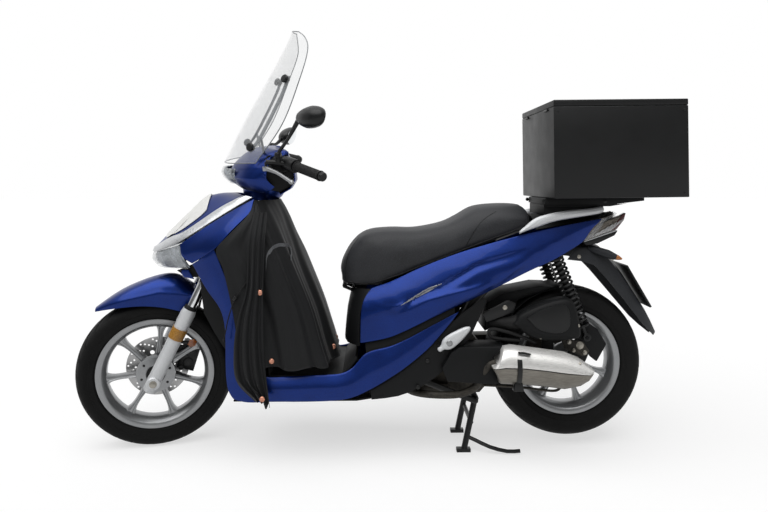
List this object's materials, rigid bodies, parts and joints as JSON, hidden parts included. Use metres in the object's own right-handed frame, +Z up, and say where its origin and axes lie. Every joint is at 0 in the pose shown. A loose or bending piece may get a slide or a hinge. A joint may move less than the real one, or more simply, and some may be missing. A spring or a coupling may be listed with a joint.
{
  "type": "moped scooter",
  "caption": "Step-through scooter on its centre stand, with windscreen, cloth leg cover, long seat, side exhaust and a square load box on a rear rack.",
  "frame": {"origin": "centre of the bounding box in plan, on the ground under the tyre and stand", "axes": "+X to the scooter's rear, +Y to its right, +Z up"},
  "size_m": [2.1392, 0.7928, 1.517],
  "materials": {
    "black_cloth": "coated woven cloth",
    "black_plastic": "grained moulding",
    "black_rubber": "matt rubber",
    "blue_paint": "clear-coated metallic paint",
    "bright_trim": "plated moulding",
    "cast_metal": "sand cast",
    "clear_lens": "clear moulding",
    "red_lens": "clear red moulding",
    "seat_vinyl": "grained vinyl",
    "silver_paint": "silver paint",
    "steel": "plated"
  },
  "bodies": {
    "chassis": {"belly_tub": "black_plastic", "box_body": "black_plastic", "carrier_rack": "black_plastic", "floor_side_left": "blue_paint", "floor_side_right": "blue_paint", "frame": "steel", "front_cowl": "blue_paint", "front_lamp": "clear_lens", "front_trim": "bright_trim", "fuel_tank": "black_plastic", "grab_rail": "silver_paint", "leg_apron": "black_cloth", "leg_shield": "black_plastic", "rear_mudguard": "black_plastic", "seat_bucket": "black_plastic", "seat_front_cover": "black_plastic", "shield_upper_left": "blue_paint", "shield_upper_right": "blue_paint", "side_cover_left": "blue_paint", "side_cover_right": "blue_paint", "tail_lamp": "red_lens"},
    "steering": {"fork_yoke": "steel", "grip_left": "black_rubber", "handlebar": "steel", "handlebar_cover": "blue_paint", "headlamp": "clear_lens", "instrument_cover": "blue_paint", "windscreen": "clear_lens"},
    "fork_lower": {"fork_slider_left": "silver_paint", "fork_slider_right": "silver_paint", "front_caliper": "black_plastic", "front_fender": "blue_paint"},
    "front_wheel": {"front_brake_disc": "steel", "front_rim": "silver_paint", "front_tyre": "black_rubber"},
    "throttle": {"grip_right": "black_rubber"},
    "lever_left": {"brake_lever_left": "silver_paint"},
    "lever_right": {"brake_lever_right": "silver_paint"},
    "mirror_left": {"mirror_left": "black_plastic"},
    "mirror_right": {"mirror_right": "black_plastic"},
    "horn_button": {"horn_button": "black_rubber"},
    "starter_button": {"starter_button": "black_rubber"},
    "swing_unit": {"air_box": "black_plastic", "engine_block": "cast_metal", "exhaust": "silver_paint", "swing_arm": "black_plastic", "transmission_case": "cast_metal"},
    "rear_wheel": {"rear_rim": "silver_paint", "rear_tyre": "black_rubber"},
    "shock_upper": {"shock_body_left": "black_plastic", "shock_body_right": "black_plastic", "spring_left": "black_plastic", "spring_right": "black_plastic"},
    "shock_lower": {"shock_rod_left": "steel", "shock_rod_right": "steel"},
    "seat": {"seat": "seat_vinyl"},
    "box_lid": {"box_lid": "black_plastic"},
    "centre_stand": {"centre_stand": "black_plastic"},
    "peg_left": {"pillion_peg_left": "silver_paint"},
    "peg_right": {"pillion_peg_right": "silver_paint"}
  },
  "joints": [
    {"name": "steering_turn", "type": "hinge", "parent": "chassis", "child": "steering", "pos_m": [-0.7636, -0.01122, 0.25607], "axis": [0.4462, 0, 0.8949], "range_deg": [-54, 26]},
    {"name": "fork_slide", "type": "slide", "parent": "steering", "child": "fork_lower", "axis": [0.4462, 0, 0.8949], "range_m": [-0.06, 0.03], "stiffness_N_per_m": 14000, "springref_m": -0.02},
    {"name": "front_wheel_spin", "type": "hinge", "parent": "fork_lower", "child": "front_wheel", "pos_m": [-0.79833, -0.0209, 0.27339], "axis": [-0.2165, 0.9703, 0.1079], "continuous": true},
    {"name": "throttle_twist", "type": "hinge", "parent": "steering", "child": "throttle", "pos_m": [-0.36542, 0.23365, 1.06807], "axis": [0.3176, 0.9459, -0.066], "range_deg": [0, 70], "stiffness_Nm_per_rad": 0.4, "springref_deg": -11.46},
    {"name": "lever_left_pull", "type": "hinge", "parent": "steering", "child": "lever_left", "pos_m": [-0.36617, -0.21775, 1.01045], "axis": [-0.0858, -0.1291, 0.9879], "range_deg": [0, 12], "stiffness_Nm_per_rad": 3, "springref_deg": -8.59},
    {"name": "lever_right_pull", "type": "hinge", "parent": "steering", "child": "lever_right", "pos_m": [-0.45494, 0.18008, 1.05471], "axis": [0.0858, 0.1291, -0.9879], "range_deg": [0, 12], "stiffness_Nm_per_rad": 3, "springref_deg": -8.59},
    {"name": "mirror_left_turn", "type": "hinge", "parent": "steering", "child": "mirror_left", "pos_m": [-0.32629, -0.21468, 1.04954], "axis": [0.0119, -0.1079, 0.9941], "range_deg": [-25, 25]},
    {"name": "mirror_right_turn", "type": "hinge", "parent": "steering", "child": "mirror_right", "pos_m": [-0.41568, 0.18594, 1.09411], "axis": [0.0119, -0.1079, 0.9941], "range_deg": [-25, 25]},
    {"name": "horn_press", "type": "slide", "parent": "steering", "child": "horn_button", "axis": [-0.7881, -0.1084, -0.6059], "range_m": [0, 0.003], "stiffness_N_per_m": 600, "springref_m": -0.002},
    {"name": "starter_press", "type": "slide", "parent": "steering", "child": "starter_button", "axis": [-0.7881, -0.1084, -0.6059], "range_m": [0, 0.003], "stiffness_N_per_m": 600, "springref_m": -0.002},
    {"name": "swing", "type": "hinge", "parent": "chassis", "child": "swing_unit", "pos_m": [0.20061, -0.01122, 0.36], "axis": [0, -1, 0], "range_deg": [0, 7.5], "stiffness_Nm_per_rad": 1500, "springref_deg": -4.58},
    {"name": "rear_wheel_spin", "type": "hinge", "parent": "swing_unit", "child": "rear_wheel", "pos_m": [0.70761, -0.01122, 0.307], "axis": [0, 1, 0], "continuous": true},
    {"name": "shock_tilt", "type": "hinge", "parent": "chassis", "child": "shock_upper", "pos_m": [0.6356, -0.01122, 0.722], "axis": [0, -1, 0], "range_deg": [0, 3.46]},
    {"name": "shock_slide", "type": "slide", "parent": "shock_upper", "child": "shock_lower", "axis": [0.3636, 0, -0.9316], "range_m": [-0.07235, 0], "deforming": ["spring_left", "spring_right"]},
    {"name": "seat_lift", "type": "hinge", "parent": "chassis", "child": "seat", "pos_m": [-0.1074, -0.01122, 0.585], "axis": [0, -1, 0], "range_deg": [0, 48]},
    {"name": "box_lid_lift", "type": "hinge", "parent": "chassis", "child": "box_lid", "pos_m": [0.60578, -0.01122, 1.22098], "axis": [0, -1, 0], "range_deg": [0, 100]},
    {"name": "stand_fold", "type": "hinge", "parent": "chassis", "child": "centre_stand", "pos_m": [0.36061, -0.01122, 0.188], "axis": [0, -1, 0], "range_deg": [0, 75]},
    {"name": "peg_left_fold", "type": "hinge", "parent": "chassis", "child": "peg_left", "pos_m": [0.22661, -0.21722, 0.398], "axis": [0.5861, 0, -0.8102], "range_deg": [0, 85]},
    {"name": "peg_right_fold", "type": "hinge", "parent": "chassis", "child": "peg_right", "pos_m": [0.22661, 0.19478, 0.398], "axis": [-0.5861, 0, 0.8102], "range_deg": [0, 85]}
  ],
  "couplings": [
    {"joint": "shock_tilt", "follows": "swing", "ratio": 0.45167},
    {"joint": "shock_slide", "follows": "swing", "m_per_rad": -0.54187}
  ]
}
